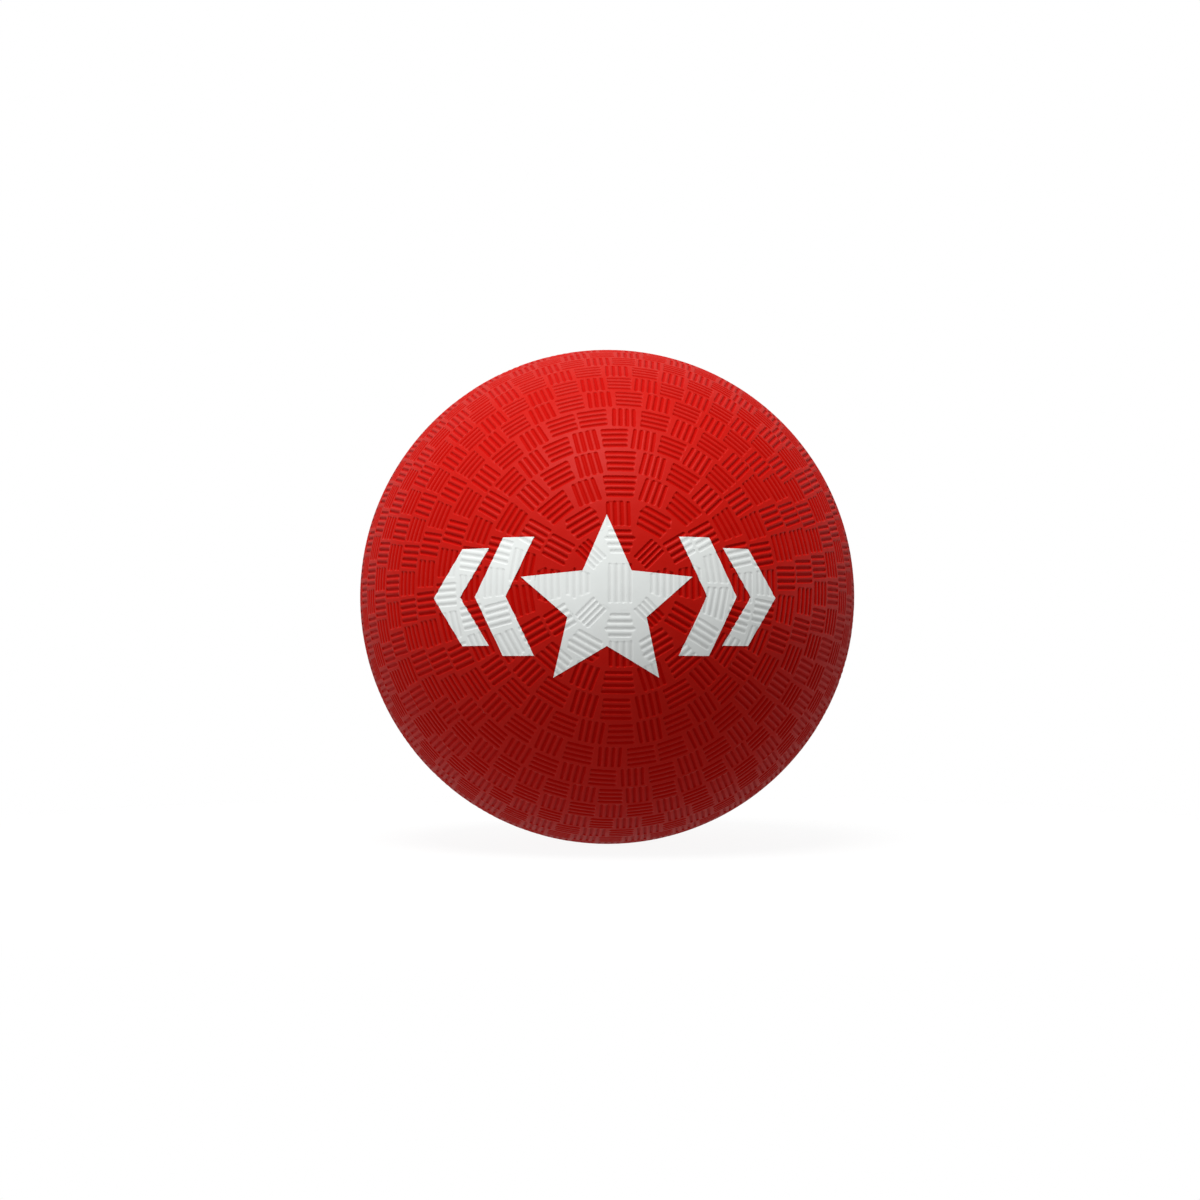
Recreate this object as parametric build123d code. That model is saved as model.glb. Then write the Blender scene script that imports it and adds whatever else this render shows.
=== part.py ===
from build123d import *
import math
import os

# A two-ply inflated rubber playground ball, 216 mm across, built as it comes apart on a bench:
# two half covers moulded together at a parting line, an airtight bladder cured inside them,
# a valve boot with its reinforcing patch, a push-in valve plug, and a printed ink motif.
#
# Frame: the origin is the centre of the ball and +Z is up. The mould's axis lies along Y.
# The printed pole faces -Y and the valve is at the +Y pole. All sizes are in millimetres.

# ---- driving dimensions ----------------------------------------------------------------

BALL_RADIUS = 108.0        # to the crowns of the grip texture: an 8.5 inch ball
COVER_PLY = 1.5            # outer coloured ply
BLADDER_PLY = 0.9          # inner airtight ply
FLASH_WIDTH = 0.8          # fine raised line left where the two mould halves met
FLASH_HEIGHT = 0.2

INK_FILM = 0.1             # printed ink
PRINT_OFFSET_X = -5.0      # middle of the motif, seen square on to the printed pole
PRINT_OFFSET_Z = -4.7
STAR_RADIUS = 34.8         # to the star's points
STAR_WAIST = 0.46          # radius of its inner corners over the radius of its points
STAR_POINTS = 5

PATCH_THICKNESS = 0.8      # reinforcing disc round the valve, inside the bladder
PATCH_RADIUS = 17.0
FLANGE_THICKNESS = 1.4     # the boot's flange, cured onto the patch
FLANGE_RADIUS = 12.0
BOOT_RADIUS = 5.5          # the boot's neck and stem
BOOT_END = 91.0            # inner end of the stem, measured from the ball's centre
BOOT_END_ROUND = 2.0

PLUG_HEAD_RADIUS = 4.0
PLUG_WAIST_RADIUS = 2.4
PLUG_BODY_RADIUS = 3.2
PLUG_FACE = 107.6          # outer face of the plug's head, just under the ball's surface
PLUG_HEAD_SEAT = 105.6
PLUG_SHOULDER = 103.4      # where the waist ends and the barb flares out
PLUG_BARB = 102.6
PLUG_END = 93.0
NEEDLE_HOLE_RADIUS = 1.1   # guide hole for a 2 mm inflation needle
NEEDLE_HOLE_FLOOR = 101.0
NEEDLE_LEAD_IN = 0.4

# Chevrons on each side of the star: start, bar width, reach of the point, height.
CHEVRONS = [(28.0, 12.0, 11.0, 46.0), (45.5, 10.5, 11.5, 38.0)]

# ---- derived radii of the layers -------------------------------------------------------

COVER_INSIDE = BALL_RADIUS - COVER_PLY
BLADDER_INSIDE = COVER_INSIDE - BLADDER_PLY
PATCH_INSIDE = BLADDER_INSIDE - PATCH_THICKNESS
FLANGE_INSIDE = PATCH_INSIDE - FLANGE_THICKNESS


# ---- helpers ---------------------------------------------------------------------------

def rise(radius, reach):
    """Height above the centre of a point on a sphere, at a distance from the valve axis."""
    return math.sqrt(radius ** 2 - reach ** 2)


def sphere_arc(radius, start, end):
    """Arc of a layer's half section, between two latitudes in degrees."""
    return CenterArc((0, 0), radius, start, end - start)


def latitude(radius, reach):
    """Latitude in degrees of a point on a sphere, at a distance from the valve axis."""
    return math.degrees(math.acos(reach / radius))


def turned(edges):
    """Solid of revolution about the valve axis, from the closed outline of its half section."""
    return revolve(make_face(edges), Axis.Y, 360)


def valve_hole():
    """Round hole through every layer at the valve pole."""
    drill = Cylinder(BOOT_RADIUS, BALL_RADIUS / 2, align=(Align.CENTER, Align.CENTER, Align.MIN))
    return Rot(-90, 0, 0) * Pos(0, 0, BALL_RADIUS * 0.75) * drill


# ---- the two plies ---------------------------------------------------------------------

def half_cover():
    """Front half of the outer ply, with its half of the flash line along the rim."""
    flash_start = -math.degrees(math.asin(FLASH_WIDTH / 2 / BALL_RADIUS))
    outside = sphere_arc(BALL_RADIUS, -90, flash_start)
    inside = sphere_arc(COVER_INSIDE, -90, 0)
    crest = (BALL_RADIUS + FLASH_HEIGHT, 0)
    return turned([
        outside,
        Line(outside @ 1, crest),
        Line(crest, inside @ 1),
        inside,
        Line(inside @ 0, outside @ 0),
    ])


def back_cover():
    """Back half of the outer ply, with the valve hole at its pole."""
    return mirror(half_cover(), Plane.XZ) - valve_hole()


def bladder():
    """One closed airtight sphere, with the valve hole."""
    outside = sphere_arc(COVER_INSIDE, -90, 90)
    inside = sphere_arc(BLADDER_INSIDE, -90, 90)
    ball = turned([
        outside,
        Line(outside @ 1, inside @ 1),
        inside,
        Line(inside @ 0, outside @ 0),
    ])
    return ball - valve_hole()


# ---- the valve -------------------------------------------------------------------------

def valve_patch():
    """Reinforcing disc on the bladder's inside, round the boot's neck."""
    top = sphere_arc(BLADDER_INSIDE, latitude(BLADDER_INSIDE, PATCH_RADIUS), 90)
    bottom = sphere_arc(PATCH_INSIDE, latitude(BLADDER_INSIDE, PATCH_RADIUS), 90)
    disc = turned([
        top,
        Line(top @ 1, bottom @ 1),
        bottom,
        Line(bottom @ 0, top @ 0),
    ])
    return disc - valve_hole()


def plug_seat():
    """Edges where the plug bears on the boot, from the axis up to the head's rim."""
    return [
        Line((0, PLUG_END), (PLUG_BODY_RADIUS, PLUG_END)),
        Line((PLUG_BODY_RADIUS, PLUG_END), (PLUG_BODY_RADIUS, PLUG_BARB)),
        Line((PLUG_BODY_RADIUS, PLUG_BARB), (PLUG_WAIST_RADIUS, PLUG_SHOULDER)),
        Line((PLUG_WAIST_RADIUS, PLUG_SHOULDER), (PLUG_WAIST_RADIUS, PLUG_HEAD_SEAT)),
        Line((PLUG_WAIST_RADIUS, PLUG_HEAD_SEAT), (PLUG_HEAD_RADIUS, PLUG_HEAD_SEAT)),
    ]


def valve_boot():
    """Butyl boot: neck flush with the cover, flange on the patch, blind stem inside the ball."""
    rim = sphere_arc(BALL_RADIUS, latitude(BALL_RADIUS, BOOT_RADIUS),
                     latitude(BALL_RADIUS, PLUG_HEAD_RADIUS))
    flange_edge = latitude(PATCH_INSIDE, FLANGE_RADIUS)
    flange_top = sphere_arc(PATCH_INSIDE, flange_edge, latitude(PATCH_INSIDE, BOOT_RADIUS))
    flange_under = sphere_arc(FLANGE_INSIDE, flange_edge, latitude(FLANGE_INSIDE, BOOT_RADIUS))
    end_round = CenterArc((BOOT_RADIUS - BOOT_END_ROUND, BOOT_END + BOOT_END_ROUND),
                          BOOT_END_ROUND, -90, 90)
    return turned(plug_seat() + [
        Line((PLUG_HEAD_RADIUS, PLUG_HEAD_SEAT), rim @ 1),
        rim,
        Line(rim @ 0, flange_top @ 1),
        flange_top,
        Line(flange_top @ 0, flange_under @ 0),
        flange_under,
        Line(flange_under @ 1, end_round @ 1),
        end_round,
        Line(end_round @ 0, (0, BOOT_END)),
        Line((0, BOOT_END), (0, PLUG_END)),
    ])


def valve_plug():
    """Push-in plug that closes on itself, with the guide hole that the needle enters by."""
    mouth = NEEDLE_HOLE_RADIUS + NEEDLE_LEAD_IN
    return turned(plug_seat() + [
        Line((PLUG_HEAD_RADIUS, PLUG_HEAD_SEAT), (PLUG_HEAD_RADIUS, PLUG_FACE)),
        Line((PLUG_HEAD_RADIUS, PLUG_FACE), (mouth, PLUG_FACE)),
        Line((mouth, PLUG_FACE), (NEEDLE_HOLE_RADIUS, PLUG_FACE - NEEDLE_LEAD_IN)),
        Line((NEEDLE_HOLE_RADIUS, PLUG_FACE - NEEDLE_LEAD_IN), (NEEDLE_HOLE_RADIUS, NEEDLE_HOLE_FLOOR)),
        Line((NEEDLE_HOLE_RADIUS, NEEDLE_HOLE_FLOOR), (0, NEEDLE_HOLE_FLOOR)),
        Line((0, NEEDLE_HOLE_FLOOR), (0, PLUG_END)),
    ])


# ---- the printed motif -----------------------------------------------------------------

def star_outline():
    """Five-point star, its height centred on the middle of the motif."""
    corners = []
    for step in range(2 * STAR_POINTS):
        reach = STAR_RADIUS if step % 2 == 0 else STAR_RADIUS * STAR_WAIST
        turn = math.pi / 2 + step * math.pi / STAR_POINTS
        corners.append((reach * math.cos(turn), reach * math.sin(turn)))
    sink = (corners[0][1] + min(height for _, height in corners)) / 2
    return [(across, height - sink) for across, height in corners]


def chevron_outline(start, bar, reach, height, side):
    """Chevron that points away from the star, on side +1 or -1."""
    half = height / 2
    return [
        (side * start, half),
        (side * (start + bar), half),
        (side * (start + bar + reach), 0),
        (side * (start + bar), -half),
        (side * start, -half),
        (side * (start + reach), 0),
    ]


def printed(outline):
    """Film of ink on the cover's front, in the outline's shape."""
    placed = Plane.XZ * Pos(PRINT_OFFSET_X, PRINT_OFFSET_Z) * make_face(Polyline(outline, close=True))
    outside = sphere_arc(BALL_RADIUS + INK_FILM, -90, -10)
    inside = sphere_arc(BALL_RADIUS, -90, -10)
    film = turned([
        outside,
        Line(outside @ 1, inside @ 1),
        inside,
        Line(inside @ 0, outside @ 0),
    ])
    return film & extrude(placed, 2 * BALL_RADIUS)


def printed_chevrons(side):
    """The pair of chevrons on one side of the star."""
    return [printed(chevron_outline(*shape, side)) for shape in CHEVRONS]


# ---- every piece, in its own file ------------------------------------------------------

PIECES = {
    "cover_front": half_cover(),
    "cover_back": back_cover(),
    "bladder": bladder(),
    "valve_patch": valve_patch(),
    "valve_boot": valve_boot(),
    "valve_plug": valve_plug(),
    "print_star": printed(star_outline()),
    "print_chevrons_left": Compound(children=printed_chevrons(-1)),
    "print_chevrons_right": Compound(children=printed_chevrons(1)),
}

os.makedirs("parts", exist_ok=True)
for name, piece in PIECES.items():
    export_step(piece, f"parts/{name}.step")
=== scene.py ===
import math

import bpy
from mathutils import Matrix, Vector
from mathutils.geometry import delaunay_2d_cdt


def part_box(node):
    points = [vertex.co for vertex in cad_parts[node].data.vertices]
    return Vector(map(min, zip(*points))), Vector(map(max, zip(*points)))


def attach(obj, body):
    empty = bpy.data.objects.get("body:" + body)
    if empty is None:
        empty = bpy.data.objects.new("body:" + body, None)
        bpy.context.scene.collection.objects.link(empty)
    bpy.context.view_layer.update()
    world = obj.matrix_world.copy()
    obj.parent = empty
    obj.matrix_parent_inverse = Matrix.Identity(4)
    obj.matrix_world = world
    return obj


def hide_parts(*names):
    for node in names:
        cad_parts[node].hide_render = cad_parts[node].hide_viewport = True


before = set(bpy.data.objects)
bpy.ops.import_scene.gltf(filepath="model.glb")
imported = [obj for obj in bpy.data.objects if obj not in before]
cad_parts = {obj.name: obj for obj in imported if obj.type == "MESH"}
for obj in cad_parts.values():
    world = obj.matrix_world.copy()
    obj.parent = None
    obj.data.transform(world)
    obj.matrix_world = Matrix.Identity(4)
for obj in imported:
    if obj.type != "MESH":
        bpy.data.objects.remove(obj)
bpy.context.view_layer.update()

# A moulded rubber playground ball. Each half of the cover carries rings of bundles, four short
# grooves to a bundle, laid crosswise and lengthwise by turns like a basket weave. The ink of the
# printed motif lies over them, and the valve sits at the pole of the back half.
# Sizes are in millimetres until a mesh is made, which turns them into metres.

MM = 0.001
TURN = 2 * math.pi

# ---- sizes taken from the frame -------------------------------------------------------------


def node_box(name):
    """Lowest and highest corner of a CAD node, in millimetres."""
    low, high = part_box(name)
    return Vector(low) / MM, Vector(high) / MM


COVER_LOW, COVER_HIGH = node_box("cover_front")
BALL_RADIUS = round(-COVER_LOW.y, 1)              # crowns of the texture, at the printed pole
FLASH_RADIUS = min(-COVER_LOW.x, COVER_HIGH.x)    # crest of the moulding line on the equator
FLASH_WIDTH = 0.8
COVER_INSIDE = round(node_box("bladder")[1].z, 1)
VALVE_HOLE = 5.5                                  # radius of the hole for the valve boot's neck

# ---- directions and flat drawings -----------------------------------------------------------


def direction(polar, azimuth):
    """Unit vector at an angle from the printed pole, at an azimuth from +X towards +Z."""
    reach = math.sin(polar)
    return Vector((reach * math.cos(azimuth), -math.cos(polar), reach * math.sin(azimuth)))


class Flat:
    """A flat drawing laid on the sphere round one of its points, with up towards the pole.

    Lines through the drawing's middle stay straight and keep their length.
    """

    def __init__(self, polar, azimuth):
        self.middle = direction(polar, azimuth)
        self.across = Vector((-math.sin(azimuth), 0, math.cos(azimuth)))
        self.up = -direction(polar + math.pi / 2, azimuth)

    def lean(self, x, y):
        """The direction in space of a direction in the drawing."""
        return self.across * x + self.up * y

    def lay(self, x, y):
        """Direction from the ball's centre of a point in the drawing."""
        reach = math.hypot(x, y) / BALL_RADIUS
        if reach == 0:
            return self.middle.copy()
        return self.middle * math.cos(reach) + self.lean(x, y).normalized() * math.sin(reach)

    def read(self, way):
        """The point in the drawing that a direction from the ball's centre falls on."""
        point = Vector((way.dot(self.across), way.dot(self.up)))
        if point.length == 0:
            return point
        return point.normalized() * math.atan2(point.length, way.dot(self.middle)) * BALL_RADIUS


# ---- the moulded texture --------------------------------------------------------------------

POLE_DISC = math.radians(5.6)                     # angle from the pole to the first ring
POLE_GROOVE = 1.5                                 # length of the disc's grooves over its radius
# Bundles in half a turn of each ring, and the azimuth in degrees where the half turn starts,
# from the pole outwards. A half turn starts crosswise, so an odd number puts two alike together.
WEAVE = [
    (4, 67.5), (6, -14), (9, -0.5), (12, 81.5), (16, 85.5), (17, 103.5), (20, 99.5),
    (24, 100), (24, 93), (28, 84), (28, 102), (30, 123), (30, 129), (30, 123),
]
RING = (math.pi / 2 - POLE_DISC) / len(WEAVE)     # angle that every ring spans
GROOVES = 4                                       # grooves in a bundle
PITCH = 2.65                                      # widest spacing of the grooves
CROSSWISE_LAND = 0.3                              # land left beyond the end of a crosswise groove
LENGTHWISE_LAND = 0.2                             # land left beyond the end of a lengthwise groove
SIDE_LAND = 0.3                                   # least land beside a bundle
# A groove's section from its rim to its floor: half width, depth, slope of the surface in degrees.
SECTION = [(0.88, 0.0, 22), (0.64, 0.12, 38), (0.28, 0.47, 16)]
GROOVE_HALF_WIDTH = SECTION[0][0]
CAP_STEPS = 4                                     # segments round a groove's end
LONGEST_STEP = math.radians(7)                    # widest gap between points round a circle
SAME_ANGLE = 1e-5                                 # points of a circle closer than this are one
WELD = 1e-7                                       # points of a drawing closer than this are one
EQUATOR = math.pi / 2 - math.asin(FLASH_WIDTH / 2 / BALL_RADIUS)    # foot of the moulding line


def ring_edges(ring):
    """Azimuths of the edges between a ring's bundles, one full turn of them."""
    half, seam = WEAVE[ring - 1]
    step = math.pi / half
    return [math.radians(seam) + step * place for place in range(2 * half)]


def ring_end(ring):
    """Angle from the pole of a ring's outer circle. The last ring stops at the moulding line."""
    return EQUATOR if ring == len(WEAVE) else POLE_DISC + RING * ring


def circle_points(ring):
    """Azimuths of the points on a ring's outer circle, shared by the rings on both its sides."""
    edges = ring_edges(ring) if ring else []
    if ring < len(WEAVE):
        edges = edges + ring_edges(ring + 1)
    else:
        edges = edges + [edge + math.pi / WEAVE[-1][0] / 2 for edge in edges]
    edges = sorted(edge % TURN for edge in edges)
    ends = [
        edge for place, edge in enumerate(edges)
        if place == 0 or edge - edges[place - 1] > SAME_ANGLE
    ]
    points = []
    for edge, following in zip(ends, ends[1:] + [ends[0] + TURN]):
        pieces = math.ceil((following - edge) / LONGEST_STEP)
        points += [edge + (following - edge) * piece / pieces for piece in range(pieces)]
    return points


def points_between(points, start, end):
    """The points of a circle that lie strictly between two azimuths, in order."""
    inside = [start + (point - start) % TURN for point in points]
    return sorted(point for point in inside if start + SAME_ANGLE < point < end - SAME_ANGLE)


class Skin:
    """The outside of one moulded half, as the printed half lies.

    A point is a unit direction from the ball's centre, its depth under the crowns in millimetres,
    and the surface's unit normal there. Lands follow the sphere. Ribs are the walls and floors of
    grooves, and the rounded ridges between them.
    """

    def __init__(self):
        self.points = []
        self.lands = []
        self.ribs = []
        self.shared = {}

    def add(self, way, depth=0.0, normal=None):
        self.points.append((way, depth, normal or way))
        return len(self.points) - 1

    def join(self, polar, azimuth):
        """A point on the crowns that neighbouring bundles share."""
        lap = round(TURN / SAME_ANGLE)
        key = (round(polar / SAME_ANGLE), round(azimuth % TURN / SAME_ANGLE) % lap)
        if key not in self.shared:
            self.shared[key] = self.add(direction(polar, azimuth))
        return self.shared[key]

    def land(self, flat, outline, rims):
        """Triangles between a bundle's outline and the rims of its grooves."""
        order = list(outline)
        edges = loop_edges(0, len(outline))
        owner = [None] * len(outline)
        for number, rim in enumerate(rims):
            edges += loop_edges(len(order), len(rim))
            order += rim
            owner += [number] * len(rim)
        places = [flat.read(self.points[point][0]) for point in order]
        triangles, origins = delaunay_2d_cdt(places, edges, [], 0, WELD, True)[2:4]
        for triangle in triangles:
            corners = [origins[corner][0] for corner in triangle]
            owners = {owner[corner] for corner in corners}
            inside_a_rim = len(owners) == 1 and None not in owners
            if not inside_a_rim:
                faces = self.lands if None in owners else self.ribs
                faces.append([order[corner] for corner in corners])

    def band(self, outer, inner):
        """A band of wall between two loops of points."""
        for here, there in loop_edges(0, len(outer)):
            self.ribs.append([outer[here], outer[there], inner[there], inner[here]])

    def surfaces(self):
        """Each face as its points and their normals, which are the sphere's own on the lands."""
        for face in self.lands:
            yield face, [self.points[point][0] for point in face]
        for face in self.ribs:
            yield face, [self.points[point][2] for point in face]


def loop_edges(first, count):
    """Edges of a closed loop of points that follow one another."""
    return [(first + step, first + (step + 1) % count) for step in range(count)]


def groove_loop(length, half_width):
    """Outline of a groove, its length along X: two round ends and a point half way along each side.

    Each entry is a flat position and the direction towards the groove's middle line.
    """
    reach = length / 2 - GROOVE_HALF_WIDTH
    loop = []
    for end in (1, -1):
        for step in range(CAP_STEPS + 1):
            turn = math.pi * (step / CAP_STEPS - 0.5) + (0 if end == 1 else math.pi)
            along, aside = math.cos(turn), math.sin(turn)
            spot = (end * reach + half_width * along, half_width * aside)
            loop.append((spot, (-along, -aside)))
        loop.append(((0.0, end * half_width), (0.0, -end)))
    return loop


def carve_groove(skin, flat, middle, length, upright):
    """Adds one groove to a bundle, and returns its rim."""
    loops = []
    for half_width, depth, degrees in SECTION:
        slope = math.radians(degrees)
        loop = []
        for (along, aside), (toward_along, toward_aside) in groove_loop(length, half_width):
            if upright:
                spot = (middle[0] - aside, middle[1] + along)
                toward = flat.lean(-toward_aside, toward_along)
            else:
                spot = (middle[0] + along, middle[1] + aside)
                toward = flat.lean(toward_along, toward_aside)
            way = flat.lay(*spot)
            normal = (way * math.cos(slope) + toward * math.sin(slope)).normalized()
            loop.append(skin.add(way, depth, normal))
        loops.append(loop)
    for outer, inner in zip(loops, loops[1:]):
        skin.band(outer, inner)
    floor = loops[-1]
    right_end, top = floor[:CAP_STEPS + 1], floor[CAP_STEPS + 1]
    left_end, bottom = floor[CAP_STEPS + 2:-1], floor[-1]
    skin.ribs += [right_end, left_end]
    skin.ribs.append([bottom, right_end[0], right_end[-1], top])
    skin.ribs.append([top, left_end[0], left_end[-1], bottom])
    return loops[0]


def crosswise_grooves(middle, depth, half_turn):
    """Middles and lengths of the grooves that lie along a ring, cut straight.

    The ring's middle circle has its own radius in space, and lies flat as an arc of the bend radius.
    """
    spread = BALL_RADIUS * math.sin(middle)
    bend = BALL_RADIUS * math.tan(middle)
    pitch = min(PITCH, (depth - 2 * (GROOVE_HALF_WIDTH + SIDE_LAND)) / (GROOVES - 1))
    grooves = []
    for number in range(GROOVES):
        height = (number - (GROOVES - 1) / 2) * pitch
        side = spread * half_turn * (bend - height - GROOVE_HALF_WIDTH) / bend - CROSSWISE_LAND
        lower_edge = bend - height + GROOVE_HALF_WIDTH
        arc = math.sqrt((bend + depth / 2 - SIDE_LAND) ** 2 - lower_edge ** 2)
        grooves.append(((0, height), 2 * min(side, arc)))
    return grooves


def lengthwise_grooves(middle, depth, half_turn):
    """Middles and lengths of the grooves that run away from the pole."""
    spread = BALL_RADIUS * math.sin(middle)
    bend = BALL_RADIUS * math.tan(middle)
    narrow = 2 * spread * half_turn * (bend - depth / 2) / bend
    pitch = min(PITCH, (narrow - 2 * (GROOVE_HALF_WIDTH + SIDE_LAND)) / (GROOVES - 1))
    grooves = []
    for number in range(GROOVES):
        aside = (number - (GROOVES - 1) / 2) * pitch
        near, far = abs(aside) - GROOVE_HALF_WIDTH, abs(aside) + GROOVE_HALF_WIDTH
        top = bend - math.sqrt((bend - depth / 2) ** 2 - near ** 2) - LENGTHWISE_LAND
        bottom = bend - math.sqrt((bend + depth / 2) ** 2 - far ** 2) + LENGTHWISE_LAND
        grooves.append(((aside, (top + bottom) / 2), top - bottom))
    return grooves


def weave_bundle(skin, ring, start, end, crosswise, inner_circle, outer_circle):
    """One bundle of four parallel grooves, between two azimuths of a ring."""
    near, far = ring_end(ring - 1), ring_end(ring)
    middle = (near + far) / 2
    flat = Flat(middle, (start + end) / 2)
    lower = [start] + points_between(outer_circle, start, end) + [end]
    upper = [start] + points_between(inner_circle, start, end) + [end]
    path = [(far, azimuth) for azimuth in lower] + [(middle, end)]
    path += [(near, azimuth) for azimuth in reversed(upper)] + [(middle, start)]
    outline = [skin.join(polar, azimuth) for polar, azimuth in path]
    layout = crosswise_grooves if crosswise else lengthwise_grooves
    grooves = layout(middle, (far - near) * BALL_RADIUS, (end - start) / 2)
    rims = [carve_groove(skin, flat, spot, length, not crosswise) for spot, length in grooves]
    skin.land(flat, outline, rims)


def weave_rings(skin):
    """All the rings of bundles outside the pole's own disc."""
    for ring in range(1, len(WEAVE) + 1):
        inner_circle, outer_circle = circle_points(ring - 1), circle_points(ring)
        half = WEAVE[ring - 1][0]
        for number, start in enumerate(ring_edges(ring)):
            end = start + math.pi / half
            crosswise = number % half % 2 == 0
            weave_bundle(skin, ring, start, end, crosswise, inner_circle, outer_circle)


def pole_flat():
    """The drawing laid round the pole, with X to the right and up along +Z."""
    return Flat(0, -math.pi / 2)


def pole_outline(skin):
    """The shared points round the pole's disc."""
    return [skin.join(POLE_DISC, azimuth) for azimuth in circle_points(0)]


def weave_pole(skin):
    """The bundle of upright grooves on the pole's own disc."""
    flat = pole_flat()
    spots = [((number - (GROOVES - 1) / 2) * PITCH, 0) for number in range(GROOVES)]
    length = POLE_DISC * BALL_RADIUS * POLE_GROOVE
    rims = [carve_groove(skin, flat, spot, length, True) for spot in spots]
    skin.land(flat, pole_outline(skin), rims)


# Smooth disc round the valve, from the texture inwards: radius, depth, slope in degrees.
VALVE_DISC = [
    (10.3, 0.0, 12), (10.0, 0.16, 40), (9.7, 0.22, 0), (9.4, 0.16, -40), (9.1, 0.0, -12),
    (7.4, 0.0, 0), (6.3, 0.03, 8), (VALVE_HOLE, 0.22, 30),
]
VALVE_DISC_POINTS = 48


def valve_disc(skin):
    """The plain disc at the back pole, with a moulded ring line and the valve hole's soft edge."""
    circles = []
    for radius, depth, degrees in VALVE_DISC:
        polar, slope = radius / BALL_RADIUS, math.radians(degrees)
        circle = []
        for step in range(VALVE_DISC_POINTS):
            azimuth = TURN * step / VALVE_DISC_POINTS
            way, away = direction(polar, azimuth), direction(polar + math.pi / 2, azimuth)
            circle.append(skin.add(way, depth, way * math.cos(slope) - away * math.sin(slope)))
        circles.append(circle)
    skin.land(pole_flat(), pole_outline(skin), [circles[0]])
    for outer, inner in zip(circles, circles[1:]):
        skin.band(outer, inner)
    return circles[-1]


# ---- meshes ---------------------------------------------------------------------------------


def make_piece(name, points, faces, corner_normals, finish):
    """Mesh object from points in millimetres, with a normal for every corner of every face."""
    mesh = bpy.data.meshes.new(name)
    mesh.from_pydata([point * MM for point in points], [], faces)
    mesh.polygons.foreach_set("use_smooth", [True] * len(faces))
    mesh.normals_split_custom_set([normal for corners in corner_normals for normal in corners])
    mesh.materials.append(finish)
    mesh.update()
    piece = bpy.data.objects.new(name, mesh)
    bpy.context.scene.collection.objects.link(piece)
    return piece


LINING_CIRCLES = 30                               # circles down the plain inside of a half
FLASH_LEAN = Vector((0, -0.5, 0))                 # tilts the moulding line's normals to its half


class Shell:
    """Points, faces and corner normals of one half of the cover, begun from its woven skin."""

    def __init__(self, skin):
        self.points = [way * (BALL_RADIUS - depth) for way, depth, _ in skin.points]
        self.faces = []
        self.normals = []
        for face, facings in skin.surfaces():
            self.faces.append(face)
            self.normals.append(facings)

    def circle(self, radius, polar, azimuths):
        """Adds the points of a circle round the mould's axis."""
        first = len(self.points)
        self.points += [direction(polar, azimuth) * radius for azimuth in azimuths]
        return list(range(first, len(self.points)))

    def face(self, corners, facing):
        """Adds a face, with a function that gives the normal at a point."""
        self.faces.append(corners)
        self.normals.append([facing(self.points[corner]) for corner in corners])

    def band(self, outer, inner, facing):
        """Adds the faces between two circles."""
        for here, there in loop_edges(0, len(outer)):
            self.face([outer[here], outer[there], inner[there], inner[here]], facing)

    def mirror(self):
        """Turns the half into its mirror image, on the other side of the parting line."""
        flip = Vector((1, -1, 1))
        self.points = [point * flip for point in self.points]
        self.faces = [face[::-1] for face in self.faces]
        self.normals = [[normal * flip for normal in reversed(corners)] for corners in self.normals]


def flash_facing(point):
    return (point.normalized() + FLASH_LEAN).normalized()


def parting_facing(point):
    return Vector((0, 1, 0))


def lining_facing(point):
    return -point.normalized()


def hole_facing(point):
    return -Vector((point.x, 0, point.z)).normalized()


def close_half(shell, rim, azimuths, hole):
    """Adds the moulding line, the parting face and the plain inside, and the hole if there is one."""
    equator = math.pi / 2
    crest = shell.circle(FLASH_RADIUS, equator, azimuths)
    shell.band(crest, rim, flash_facing)
    inside = shell.circle(COVER_INSIDE, equator, azimuths)
    shell.band(inside, crest, parting_facing)
    last_polar = math.asin(VALVE_HOLE / COVER_INSIDE) if hole else equator / LINING_CIRCLES
    for step in range(1, LINING_CIRCLES):
        polar = equator + (last_polar - equator) * step / (LINING_CIRCLES - 1)
        following = shell.circle(COVER_INSIDE, polar, azimuths)
        shell.band(following, inside, lining_facing)
        inside = following
    if hole:
        hole_azimuths = [TURN * step / VALVE_DISC_POINTS for step in range(VALVE_DISC_POINTS)]
        mouth = shell.circle(COVER_INSIDE, last_polar, hole_azimuths)
        shell.band(hole, mouth, hole_facing)
    else:
        shell.face(inside, lining_facing)


def half_cover(name, valve_side, finish):
    """One moulded half of the cover: woven outside, moulding line, plain inside.

    The half that holds the valve is made on the printed side and mirrored to the back.
    """
    skin = Skin()
    weave_rings(skin)
    hole = None
    if valve_side:
        hole = valve_disc(skin)
    else:
        weave_pole(skin)
    azimuths = circle_points(len(WEAVE))
    rim = [skin.join(EQUATOR, azimuth) for azimuth in azimuths]
    shell = Shell(skin)
    close_half(shell, rim, azimuths, hole)
    if valve_side:
        shell.mirror()
    return make_piece(name, shell.points, shell.faces, shell.normals, finish), skin


# ---- the printed ink ------------------------------------------------------------------------

INK_FILM = 0.09                                   # thickness on the crowns
INK_FOLLOWS = 0.4                                 # share of a groove's depth that the ink's top keeps
STAR_POINTS = 5
STAR_RADIUS = 34.8                                # to the star's points
STAR_WAIST = 0.46                                 # radius of its inner corners over the radius above
# Chevrons from the star outwards: start, bar width, reach of the point, height.
CHEVRONS = [(28.0, 12.0, 11.0, 46.0), (45.5, 10.5, 11.5, 38.0)]
STAR_LOW, STAR_HIGH = node_box("print_star")
MOTIF_MIDDLE = ((STAR_LOW.x + STAR_HIGH.x) / 2, (STAR_LOW.z + STAR_HIGH.z) / 2)


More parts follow.
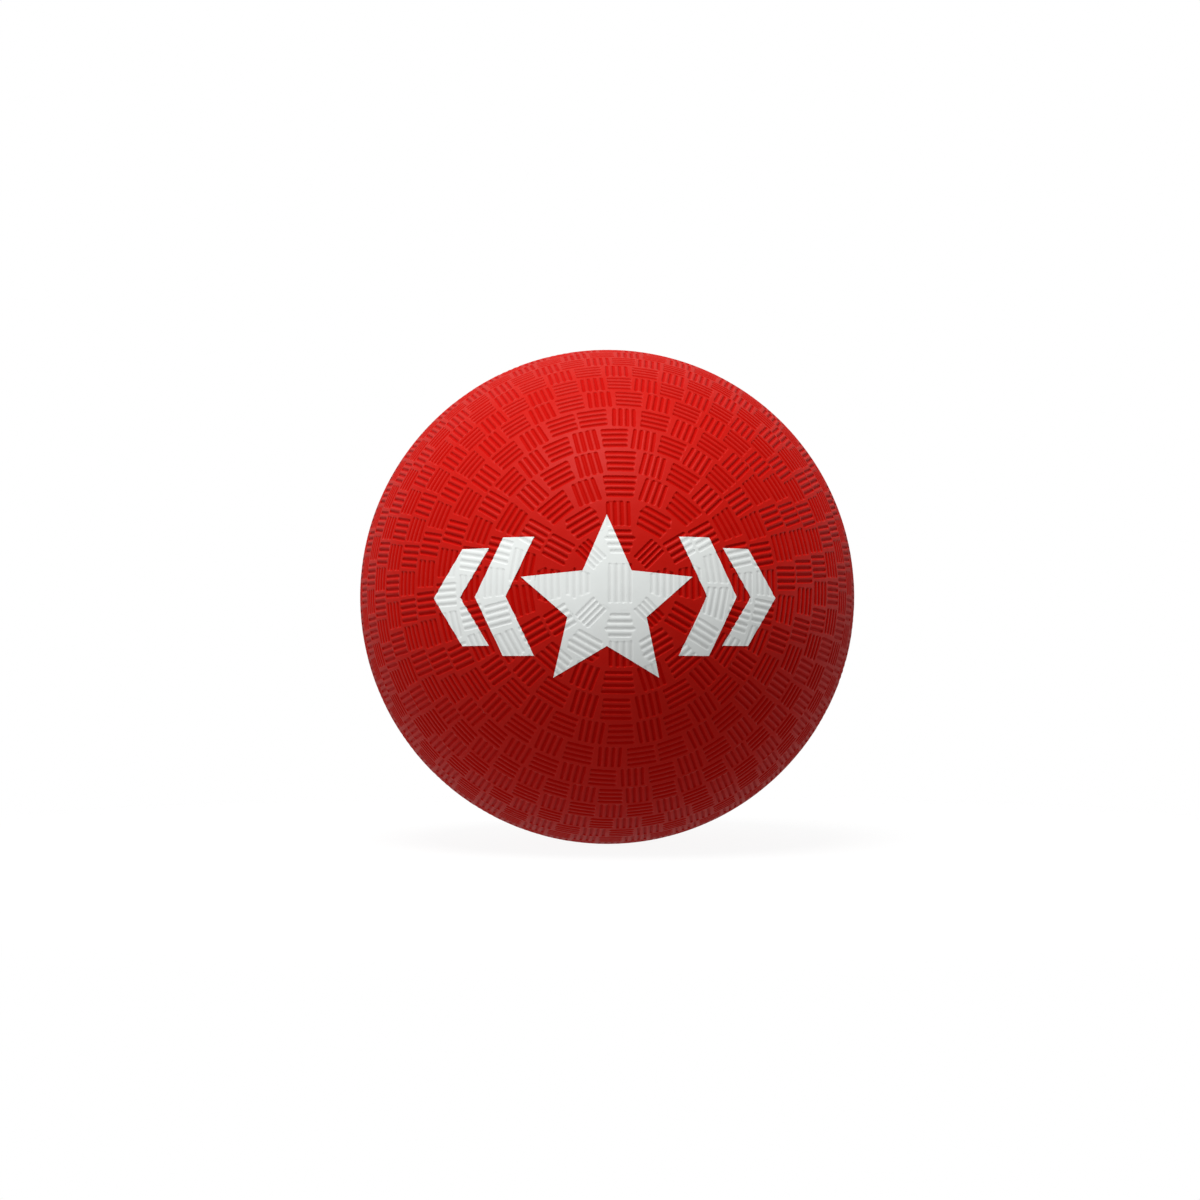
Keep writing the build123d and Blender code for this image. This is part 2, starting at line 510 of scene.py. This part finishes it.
def star_kites():
    """The star as five kites, each a list of corners going anticlockwise."""
    tips = []
    notches = []
    for number in range(STAR_POINTS):
        turn = math.pi / 2 + number * TURN / STAR_POINTS
        tips.append((STAR_RADIUS * math.cos(turn), STAR_RADIUS * math.sin(turn)))
        turn += math.pi / STAR_POINTS
        reach = STAR_RADIUS * STAR_WAIST
        notches.append((reach * math.cos(turn), reach * math.sin(turn)))
    sink = (STAR_RADIUS + min(height for _, height in tips)) / 2
    kites = []
    for number, tip in enumerate(tips):
        kite = [(0, 0), notches[number - 1], tip, notches[number]]
        kites.append([(across, height - sink) for across, height in kite])
    return kites


def chevron_arms(side):
    """The chevrons of one side as slanting bars, each a list of corners going anticlockwise."""
    arms = []
    for start, bar, reach, height in CHEVRONS:
        for end in (1, -1):
            arm = [
                (side * start, end * height / 2),
                (side * (start + reach), 0),
                (side * (start + bar + reach), 0),
                (side * (start + bar), end * height / 2),
            ]
            arms.append(arm if side * end > 0 else arm[::-1])
    return arms


def clip(corners, shape):
    """Cuts a face to a convex shape. A corner is a list of numbers that starts with x, y and z."""
    for (x0, z0), (x1, z1) in zip(shape, shape[1:] + shape[:1]):
        margins = [(x1 - x0) * (corner[2] - z0) - (z1 - z0) * (corner[0] - x0) for corner in corners]
        kept = []
        for place, corner in enumerate(corners):
            other, here, there = corners[place - 1], margins[place], margins[place - 1]
            if (here > 0) != (there > 0):
                share = there / (there - here)
                kept.append([a + (b - a) * share for a, b in zip(other, corner)])
            if here > 0:
                kept.append(corner)
        corners = kept
        if len(corners) < 3:
            return []
    return corners


def woven_faces(skin):
    """Each face of the cover as corners: where it lies on the crowns, its depth, its normal."""
    woven = []
    for face, facings in skin.surfaces():
        corners = []
        for point, facing in zip(face, facings):
            way, depth, _ = skin.points[point]
            corners.append([*(way * BALL_RADIUS), depth, *facing])
        woven.append(corners)
    return woven


def apart(corners, shape):
    """Whether a face lies wholly beside, above or below a shape's bounding box."""
    for axis, sides in ((0, [x for x, _ in shape]), (2, [z for _, z in shape])):
        spots = [corner[axis] for corner in corners]
        if max(spots) < min(sides) or min(spots) > max(sides):
            return True
    return False


class InkFilm:
    """A closed film of ink: a top that partly follows the grooves, and a bottom on the rubber."""

    def __init__(self):
        self.points = []
        self.faces = []
        self.normals = []
        self.welded = {}
        self.edges = {}

    def point(self, corner):
        """Top and bottom point of the film at a corner, and the normals there."""
        key = tuple(round(number, 3) for number in corner[:3])
        outward = Vector(corner[:3]).normalized()
        if key not in self.welded:
            self.welded[key] = len(self.points)
            self.points.append(outward * (BALL_RADIUS + INK_FILM - corner[3] * INK_FOLLOWS))
            self.points.append(outward * (BALL_RADIUS - corner[3]))
        top = self.welded[key]
        normal = outward.lerp(Vector(corner[4:7]), INK_FOLLOWS).normalized()
        return top, top + 1, normal, -outward

    def cover(self, corners):
        """Lays ink over one face of the cover, already cut to the motif."""
        cut = [self.point(corner) for corner in corners]
        cut = [corner for place, corner in enumerate(cut) if corner[0] != cut[place - 1][0]]
        if len(cut) < 3:
            return
        self.faces.append([corner[0] for corner in cut])
        self.normals.append([corner[2] for corner in cut])
        self.faces.append([corner[1] for corner in reversed(cut)])
        self.normals.append([corner[3] for corner in reversed(cut)])
        for here, there in zip(cut, cut[1:] + cut[:1]):
            self.edges[here[0], there[0]] = (here, there)

    def close_edges(self):
        """Joins top and bottom all along the film's outline."""
        for (start, end), (here, there) in self.edges.items():
            if (end, start) in self.edges:
                continue
            self.faces.append([here[1], there[1], there[0], here[0]])
            along = self.points[there[1]] - self.points[here[1]]
            self.normals.append([along.cross(here[2]).normalized()] * 4)


def print_ink(name, shapes, woven, finish):
    """A film of ink over the cover's front, wherever the shapes fall seen square on to the pole."""
    aside, up = MOTIF_MIDDLE
    film = InkFilm()
    for shape in shapes:
        placed = [(x + aside, z + up) for x, z in shape]
        for corners in woven:
            if not apart(corners, placed):
                film.cover(clip(corners, placed))
    film.close_edges()
    return make_piece(name, film.points, film.faces, film.normals, finish)


# ---- shader maths ---------------------------------------------------------------------------


class Signal:
    """A value that runs through a shader, used in Python arithmetic."""

    def __init__(self, recipe, socket):
        self.recipe = recipe
        self.socket = socket

    def __add__(self, other):
        return self.recipe.maths("ADD", self, other)

    def __mul__(self, other):
        return self.recipe.maths("MULTIPLY", self, other)

    def __sub__(self, other):
        return self.recipe.maths("SUBTRACT", self, other)

    def __rsub__(self, other):
        return self.recipe.maths("SUBTRACT", other, self)

    __radd__ = __add__
    __rmul__ = __mul__


class Recipe:
    """The nodes of one material, or of the backdrop."""

    def __init__(self, name, kind=bpy.data.materials):
        self.made = kind.new(name)
        self.made.use_nodes = True
        self.tree = self.made.node_tree
        self.tree.nodes.clear()

    def node(self, kind, settings=None, values=None):
        """Makes a node. Settings are set first, then its sockets get their values or links."""
        made = self.tree.nodes.new(kind)
        for name, setting in (settings or {}).items():
            setattr(made, name, setting)
        for name, value in (values or {}).items():
            if isinstance(value, Signal):
                self.tree.links.new(value.socket, made.inputs[name])
            else:
                made.inputs[name].default_value = value
        return made

    def out(self, made, name=0):
        return Signal(self, made.outputs[name])

    def maths(self, operation, first, second):
        return self.out(self.node("ShaderNodeMath", {"operation": operation}, {0: first, 1: second}))

    def place(self):
        """Position on the piece, in metres from its origin, which is the ball's centre on the ball."""
        return self.out(self.node("ShaderNodeTexCoord"), "Object")

    def noise(self, size, detail=2.0, roughness=0.5):
        """Cloudy pattern from 0 to 1, with features of about a size in metres."""
        values = {"Vector": self.place(), "Scale": 1 / size, "Detail": detail, "Roughness": roughness}
        return self.out(self.node("ShaderNodeTexNoise", None, values), "Fac")

    def ramp(self, value, low, high):
        """0 below low, 1 above high, and a straight line between."""
        values = {"Value": value, "From Min": low, "From Max": high}
        return self.out(self.node("ShaderNodeMapRange", {"clamp": True}, values))

    def mix(self, share, first, second):
        """Blends two colours."""
        values = {0: share, 6: first, 7: second}
        return self.out(self.node("ShaderNodeMix", {"data_type": "RGBA"}, values), 2)

    def reach(self):
        """Distance from the piece's origin, in metres."""
        length = self.node("ShaderNodeVectorMath", {"operation": "LENGTH"}, {0: self.place()})
        return self.out(length, "Value")

    def depth(self):
        """Distance under the crowns of the texture, in millimetres."""
        return BALL_RADIUS - self.reach() * (1 / MM)

    def bump(self, height, distance, strength=1.0):
        values = {"Height": height, "Distance": distance, "Strength": strength}
        return self.out(self.node("ShaderNodeBump", None, values))

    def finish(self, **values):
        """Ends the recipe in one shader with these socket values."""
        values = {name.replace("_", " "): value for name, value in values.items()}
        shader = self.node("ShaderNodeBsdfPrincipled", None, values)
        self.node("ShaderNodeOutputMaterial", None, {"Surface": self.out(shader)})
        return self.made


# ---- finishes -------------------------------------------------------------------------------

RED = (0.465, 0.0050, 0.0018, 1)
BRIGHTER_RED = (0.505, 0.0062, 0.0025, 1)
# Painted shade: a darker, deeper red that stands in for the shade that falls in the grooves.
GROOVE_PAINTED_SHADE = (0.420, 0.0004, 0.0001, 1)
# Painted sheen: a pale pink that stands in for the reflection of the bright surroundings where the
# rubber is seen edge on.
GRAZING_PAINTED_SHEEN = (0.51, 0.14, 0.125, 1)
# Ink tones: greyer and whiter ink, mixed in random blotches; the whiter one is also painted light that
# brightens the ink low down on the ball.
INK_GREYER = (0.69, 0.72, 0.70, 1)
INK_WHITER_AND_PAINTED_LIGHT = (0.91, 0.94, 0.925, 1)
# Painted shade: greyer ink that stands in for the shade in the grooves under the print.
INK_GROOVE_PAINTED_SHADE = (0.63, 0.64, 0.63, 1)


def red_cover_rubber():
    """Pigmented rubber with a fine grain and satin crowns, a pale painted sheen where it is seen edge
    on, and painted shade in the grooves.
    """
    recipe = Recipe("red_cover_rubber")
    sunk = recipe.ramp(recipe.depth(), 0.0, 0.24)
    cloud = recipe.noise(0.035, 3)
    colour = recipe.mix(cloud, RED, BRIGHTER_RED)
    edge_on = recipe.out(recipe.node("ShaderNodeLayerWeight", None, {"Blend": 0.5}), "Facing")
    # Painted sheen: paler where the surface is seen edge on, in place of a grazing reflection.
    colour = recipe.mix(recipe.ramp(edge_on, 0.5, 1.0) * 0.27, colour, GRAZING_PAINTED_SHEEN)
    # Painted shade: the grooves are darkened towards the groove colour by their depth.
    colour = recipe.mix(sunk * 0.75, colour, GROOVE_PAINTED_SHADE)
    grain = recipe.noise(0.00035, 2)
    ripple = recipe.noise(0.004, 2)
    return recipe.finish(
        Base_Color=colour,
        Roughness=0.55 + recipe.noise(0.006, 3) * 0.12,
        Specular_IOR_Level=0.045,
        Specular_Tint=(1, 0.75, 0.5, 1),
        Coat_Weight=(1 - sunk) * 0.14,
        Coat_Roughness=0.5,
        Normal=recipe.bump(grain + ripple * 4, 0.00003, 0.6),
    )


def white_print_ink():
    """Slightly grey white ink with a soft sheen and random blotches of tone, painted lighter low down
    on the ball, with painted shade in the grooves.
    """
    recipe = Recipe("white_print_ink")
    sunk = recipe.ramp(recipe.depth(), -0.05, 0.2)
    height = recipe.out(recipe.node("ShaderNodeSeparateXYZ", None, {"Vector": recipe.place()}), "Z")
    # Random blotches of tone, plus painted light: the ink is painted whiter low down on the ball.
    laid = recipe.noise(0.012, 4, 0.6) * 0.4 + (1 - recipe.ramp(height, -0.03, 0.03)) * 0.6
    colour = recipe.mix(laid, INK_GREYER, INK_WHITER_AND_PAINTED_LIGHT)
    # Painted shade: the ink greys in the grooves by their depth.
    colour = recipe.mix(sunk * 0.5, colour, INK_GROOVE_PAINTED_SHADE)
    return recipe.finish(
        Base_Color=colour,
        Roughness=0.42 + recipe.noise(0.003, 3) * 0.14,
        Specular_IOR_Level=0.3,
        Normal=recipe.bump(recipe.noise(0.0006, 3), 0.00003, 0.5),
    )


def smooth_rubber(name, colour, roughness):
    """Plain rubber with faint clouds and a fine grain, for the bladder and the valve's pieces."""
    recipe = Recipe(name)
    lighter = tuple(min(1.0, part * 1.35) for part in colour)
    tint = recipe.mix(recipe.noise(0.004, 3), (*colour, 1), (*lighter, 1))
    return recipe.finish(
        Base_Color=tint,
        Roughness=roughness + recipe.noise(0.002, 3) * 0.15,
        Normal=recipe.bump(recipe.noise(0.0004, 3), 0.00004, 0.5),
    )


# ---- the ball -------------------------------------------------------------------------------


def finish_node(name, finish):
    """Gives a CAD node that stays on show its finish."""
    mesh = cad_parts[name].data
    mesh.materials.clear()
    mesh.materials.append(finish)


def show_instead(piece, node):
    """Shows a piece in place of the CAD node that it details."""
    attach(piece, "root")
    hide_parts(node)


def build_ball():
    rubber = red_cover_rubber()
    front, skin = half_cover("woven_cover_front", False, rubber)
    back, _ = half_cover("woven_cover_back", True, rubber)
    show_instead(front, "cover_front")
    show_instead(back, "cover_back")
    ink = white_print_ink()
    woven = woven_faces(skin)
    motif = {"star": star_kites(), "chevrons_left": chevron_arms(-1), "chevrons_right": chevron_arms(1)}
    for name, shapes in motif.items():
        show_instead(print_ink(f"ink_{name}", shapes, woven, ink), f"print_{name}")
    finish_node("bladder", smooth_rubber("bladder_rubber", (0.030, 0.030, 0.032), 0.45))
    finish_node("valve_patch", smooth_rubber("patch_rubber", (0.10, 0.095, 0.09), 0.65))
    finish_node("valve_boot", smooth_rubber("boot_rubber", (0.045, 0.045, 0.048), 0.42))
    finish_node("valve_plug", smooth_rubber("plug_rubber", (0.30, 0.20, 0.12), 0.45))


# ---- floor, light and camera ----------------------------------------------------------------

# From here on, places and sizes are in metres.
FLOOR = -FLASH_RADIUS * MM
FLOOR_HALF_WIDTH = 4.0
FLOOR_FADES = (0.14, 0.40)                        # where the fade into the backdrop starts and ends
FLOOR_GLOW = 0.92                                 # share of the floor that no shadow darkens
CAMERA_REACH = 7.7 * BALL_RADIUS * MM             # from the ball's centre
CAMERA_ASIDE = math.radians(-2.65)                # to the left of the mould's axis
CAMERA_ABOVE = math.radians(-2.8)                 # a little below the ball's middle
CAMERA_LENS = 56.6
SENSOR_WIDTH = 36
CAMERA_SHIFT = (-0.0060, -0.0026)


def aim(thing):
    """Turns a camera or a light towards the ball's centre."""
    thing.rotation_mode = "QUATERNION"
    thing.rotation_quaternion = (-thing.location).to_track_quat("-Z", "Y")


def sphere_place(reach, aside, above):
    """A place at a distance from the ball's centre. Aside 0 and above 0 face the printed pole."""
    return Vector((
        reach * math.sin(aside) * math.cos(above),
        -reach * math.cos(aside) * math.cos(above),
        reach * math.sin(above),
    ))


def make_camera():
    data = bpy.data.cameras.new("camera")
    data.lens = CAMERA_LENS
    data.sensor_width = SENSOR_WIDTH
    data.shift_x, data.shift_y = CAMERA_SHIFT
    camera = bpy.data.objects.new("camera", data)
    camera.location = sphere_place(CAMERA_REACH, CAMERA_ASIDE, CAMERA_ABOVE)
    aim(camera)
    bpy.context.scene.collection.objects.link(camera)
    bpy.context.scene.camera = camera


def make_light(name, aside, above, reach, size, power):
    """A round softbox that points at the ball, placed by two angles in degrees."""
    data = bpy.data.lights.new(name, "AREA")
    data.shape = "DISK"
    data.size = size
    data.energy = power
    light = bpy.data.objects.new(name, data)
    light.location = sphere_place(reach, math.radians(aside), math.radians(above))
    aim(light)
    light.visible_camera = False
    bpy.context.scene.collection.objects.link(light)


def floor_finish():
    """Pale floor that fades into the backdrop away from the ball, with only a faint shadow on it."""
    recipe = Recipe("pale_floor")
    seen = recipe.out(recipe.node("ShaderNodeLightPath"), "Is Camera Ray")
    near = seen * (1 - recipe.ramp(recipe.reach(), *FLOOR_FADES))
    paint = recipe.out(recipe.node("ShaderNodeBsdfDiffuse", None, {"Color": (0.9, 0.9, 0.9, 1)}))
    glow = recipe.out(recipe.node("ShaderNodeEmission", None, {"Color": (1, 1, 1, 1)}))
    lit = recipe.out(recipe.node("ShaderNodeMixShader", None, {0: FLOOR_GLOW, 1: paint, 2: glow}))
    clear = recipe.out(recipe.node("ShaderNodeBsdfTransparent"))
    blend = recipe.out(recipe.node("ShaderNodeMixShader", None, {0: near, 1: clear, 2: lit}))
    recipe.node("ShaderNodeOutputMaterial", None, {"Surface": blend})
    return recipe.made


def make_floor():
    corners = [
        (across * FLOOR_HALF_WIDTH, along * FLOOR_HALF_WIDTH, FLOOR)
        for across, along in ((-1, -1), (1, -1), (1, 1), (-1, 1))
    ]
    mesh = bpy.data.meshes.new("floor")
    mesh.from_pydata(corners, [], [(0, 1, 2, 3)])
    mesh.materials.append(floor_finish())
    floor = bpy.data.objects.new("floor", mesh)
    bpy.context.scene.collection.objects.link(floor)


def make_backdrop():
    """White backdrop that lights the ball much more softly than it looks, a little from the left.

    Fill is what a matt surface gets from each direction, and mirrored is what a glossy one shows.
    """
    recipe = Recipe("backdrop", bpy.data.worlds)
    path = recipe.node("ShaderNodeLightPath")
    seen, shiny = recipe.out(path, "Is Camera Ray"), recipe.out(path, "Is Glossy Ray")
    sky = recipe.out(recipe.node("ShaderNodeTexCoord"), "Generated")
    split = recipe.node("ShaderNodeSeparateXYZ", None, {"Vector": sky})
    right, back, up = (recipe.out(split, axis) for axis in "XYZ")
    fill = 0.45 - right * 0.25 + up * 0.01 + recipe.ramp(back, 0.0, 0.8) * 0.28
    mirrored = 0.07 + recipe.ramp(back, 0.0, 0.9) * (0.44 - recipe.ramp(up, -0.3, 0.1) * 0.34)
    level = fill + shiny * (mirrored - fill)
    level = level + seen * (1 - level)
    light = recipe.node("ShaderNodeBackground", None, {"Color": (1, 1, 1, 1), "Strength": level})
    recipe.node("ShaderNodeOutputWorld", None, {"Surface": recipe.out(light)})
    bpy.context.scene.world = recipe.made


make_camera()
make_backdrop()
make_floor()
make_light("overhead_softbox", aside=-18, above=64, reach=2.4, size=1.2, power=68)
make_light("side_softbox", aside=105, above=0, reach=2.4, size=1.0, power=8)
build_ball()

bpy.context.scene.view_settings.view_transform = "Standard"
